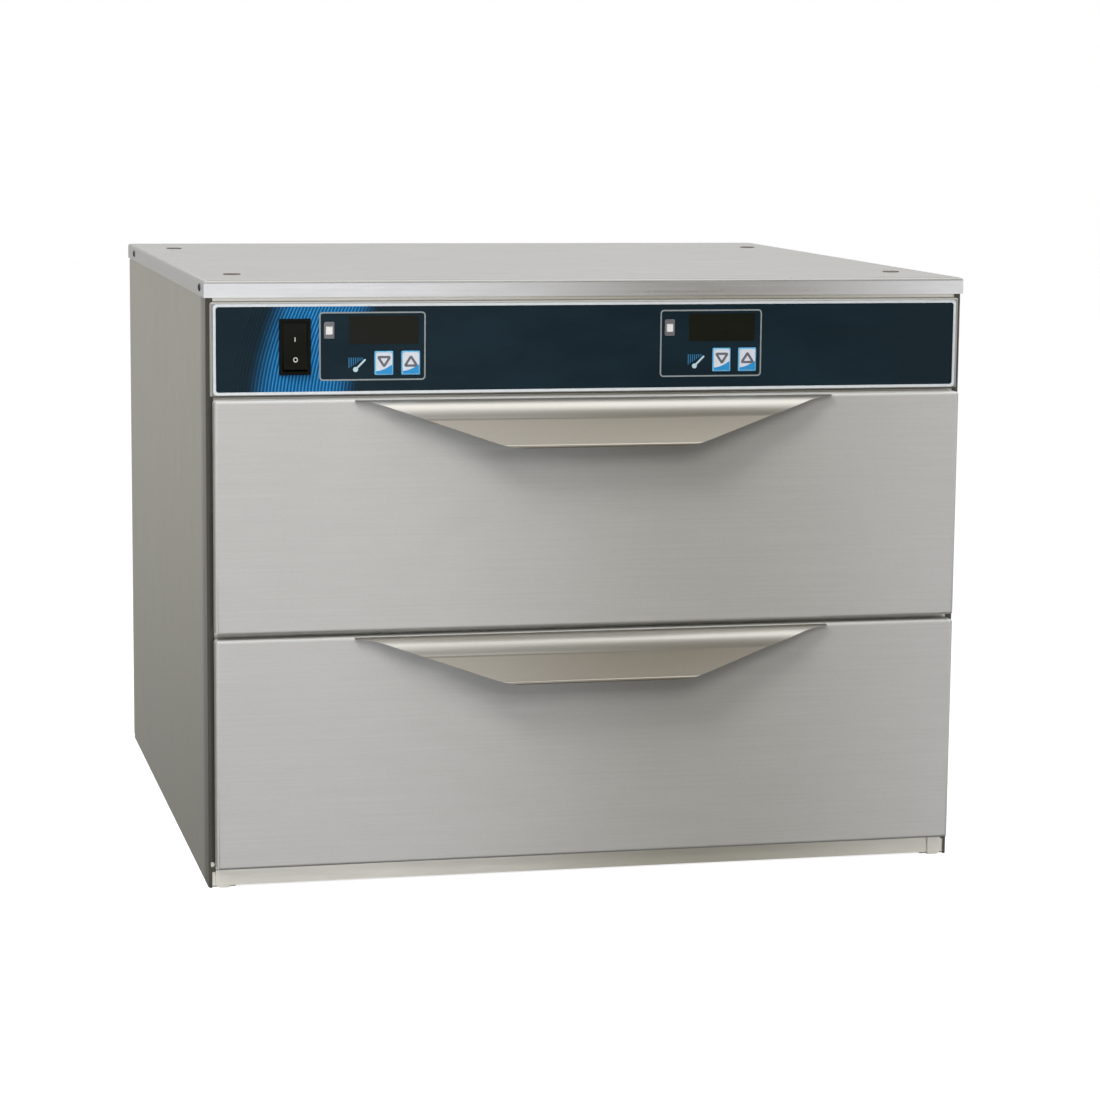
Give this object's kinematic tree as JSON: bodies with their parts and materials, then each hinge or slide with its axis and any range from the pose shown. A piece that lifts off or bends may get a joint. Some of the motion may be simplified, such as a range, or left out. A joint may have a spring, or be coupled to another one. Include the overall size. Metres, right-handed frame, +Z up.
{
  "type": "countertop warming drawer",
  "caption": "Countertop food warmer: sheet-steel cabinet with two insulated drawers on telescopic slides, folded pulls, food pans and a control panel with rocker switch and keys.",
  "frame": {"origin": "middle of the bounding box's footprint, on the table", "axes": "+Z up, the drawers open towards -Y, +X to the right as seen from the front"},
  "size_m": [0.6268, 0.6675, 0.4848],
  "materials": {
    "brushed_steel": "brushed stainless sheet",
    "side_steel": "satin stainless sheet",
    "inner_steel": "mill-finish steel",
    "pan_steel": "polished stainless",
    "rail_steel": "zinc-plated steel",
    "ball_steel": "bright steel balls in a steel strip",
    "dark_fastener": "dark fasteners and plugs",
    "heater_sheath": "dark alloy sheath",
    "probe_copper": "copper bulb",
    "overlay_navy": "printed film, satin",
    "display_glass": "dark tinted window",
    "lens_white": "white indicator lens",
    "black_plastic": "moulded black plastic",
    "terminal_plastic": "moulded ivory plastic",
    "key_plastic": "pale blue keys",
    "gasket_rubber": "black silicone",
    "glass_wool": "glass-fibre blanket"
  },
  "bodies": {
    "cabinet": {"top_panel": "brushed_steel", "top_hole_plugs": "dark_fastener", "cabinet_screws": "dark_fastener", "left_side_panel": "side_steel", "right_side_panel": "side_steel", "back_panel": "side_steel", "base_panel": "side_steel", "leg_sockets": "inner_steel", "front_frame": "brushed_steel", "base_corner_clips": "brushed_steel", "upper_liner": "inner_steel", "lower_liner": "inner_steel", "cabinet_insulation": "glass_wool", "control_bay_floor": "inner_steel", "upper_heater": "heater_sheath", "lower_heater": "heater_sheath", "heater_clips": "inner_steel", "temperature_probes": "probe_copper", "probe_clips": "inner_steel", "control_fascia": "brushed_steel", "control_overlay": "overlay_navy", "display_windows": "display_glass", "indicator_lenses": "lens_white", "left_control_module": "black_plastic", "right_control_module": "black_plastic", "switch_housing": "black_plastic", "terminal_block": "terminal_plastic", "cord_gland": "black_plastic", "upper_cabinet_rails": "rail_steel", "lower_cabinet_rails": "rail_steel"},
    "upper_drawer": {"upper_drawer_front": "brushed_steel", "upper_drawer_insulation": "glass_wool", "upper_drawer_inner_panel": "inner_steel", "upper_drawer_gasket": "gasket_rubber", "upper_handle": "brushed_steel", "upper_handle_screws": "inner_steel", "upper_drawer_frame": "inner_steel", "upper_drawer_rails": "rail_steel", "upper_food_pan": "pan_steel"},
    "upper_middle_rails": {"upper_middle_rails": "rail_steel"},
    "upper_outer_ball_cages": {"upper_outer_ball_cages": "ball_steel"},
    "upper_inner_ball_cages": {"upper_inner_ball_cages": "ball_steel"},
    "lower_drawer": {"lower_drawer_front": "brushed_steel", "lower_drawer_insulation": "glass_wool", "lower_drawer_inner_panel": "inner_steel", "lower_drawer_gasket": "gasket_rubber", "lower_handle": "brushed_steel", "lower_handle_screws": "inner_steel", "lower_drawer_frame": "inner_steel", "lower_drawer_rails": "rail_steel", "lower_food_pan": "pan_steel"},
    "lower_middle_rails": {"lower_middle_rails": "rail_steel"},
    "lower_outer_ball_cages": {"lower_outer_ball_cages": "ball_steel"},
    "lower_inner_ball_cages": {"lower_inner_ball_cages": "ball_steel"},
    "switch_rocker": {"switch_rocker": "black_plastic"},
    "left_down_key": {"left_down_key": "key_plastic"},
    "left_up_key": {"left_up_key": "key_plastic"},
    "right_down_key": {"right_down_key": "key_plastic"},
    "right_up_key": {"right_up_key": "key_plastic"}
  },
  "joints": [
    {"name": "upper_drawer_slide", "type": "slide", "parent": "cabinet", "child": "upper_drawer", "axis": [0, -1, 0], "range_m": [0, 0.42]},
    {"name": "upper_middle_rails_slide", "type": "slide", "parent": "cabinet", "child": "upper_middle_rails", "axis": [0, -1, 0], "range_m": [0, 0.21]},
    {"name": "upper_outer_ball_cages_slide", "type": "slide", "parent": "cabinet", "child": "upper_outer_ball_cages", "axis": [0, -1, 0], "range_m": [0, 0.105]},
    {"name": "upper_inner_ball_cages_slide", "type": "slide", "parent": "cabinet", "child": "upper_inner_ball_cages", "axis": [0, -1, 0], "range_m": [0, 0.315]},
    {"name": "lower_drawer_slide", "type": "slide", "parent": "cabinet", "child": "lower_drawer", "axis": [0, -1, 0], "range_m": [0, 0.42]},
    {"name": "lower_middle_rails_slide", "type": "slide", "parent": "cabinet", "child": "lower_middle_rails", "axis": [0, -1, 0], "range_m": [0, 0.21]},
    {"name": "lower_outer_ball_cages_slide", "type": "slide", "parent": "cabinet", "child": "lower_outer_ball_cages", "axis": [0, -1, 0], "range_m": [0, 0.105]},
    {"name": "lower_inner_ball_cages_slide", "type": "slide", "parent": "cabinet", "child": "lower_inner_ball_cages", "axis": [0, -1, 0], "range_m": [0, 0.315]},
    {"name": "switch_rock", "type": "hinge", "parent": "cabinet", "child": "switch_rocker", "pos_m": [-0.2412, -0.29315, 0.4323], "axis": [1, 0, 0], "range_deg": [0, 14]},
    {"name": "left_down_key_press", "type": "slide", "parent": "cabinet", "child": "left_down_key", "axis": [0, 1, 0], "range_m": [0, 0.0008], "stiffness_N_per_m": 400},
    {"name": "left_up_key_press", "type": "slide", "parent": "cabinet", "child": "left_up_key", "axis": [0, 1, 0], "range_m": [0, 0.0008], "stiffness_N_per_m": 400},
    {"name": "right_down_key_press", "type": "slide", "parent": "cabinet", "child": "right_down_key", "axis": [0, 1, 0], "range_m": [0, 0.0008], "stiffness_N_per_m": 400},
    {"name": "right_up_key_press", "type": "slide", "parent": "cabinet", "child": "right_up_key", "axis": [0, 1, 0], "range_m": [0, 0.0008], "stiffness_N_per_m": 400}
  ],
  "couplings": [
    {"joint": "upper_middle_rails_slide", "follows": "upper_drawer_slide", "ratio": 0.5},
    {"joint": "upper_outer_ball_cages_slide", "follows": "upper_drawer_slide", "ratio": 0.25},
    {"joint": "upper_inner_ball_cages_slide", "follows": "upper_drawer_slide", "ratio": 0.75},
    {"joint": "lower_middle_rails_slide", "follows": "lower_drawer_slide", "ratio": 0.5},
    {"joint": "lower_outer_ball_cages_slide", "follows": "lower_drawer_slide", "ratio": 0.25},
    {"joint": "lower_inner_ball_cages_slide", "follows": "lower_drawer_slide", "ratio": 0.75}
  ]
}
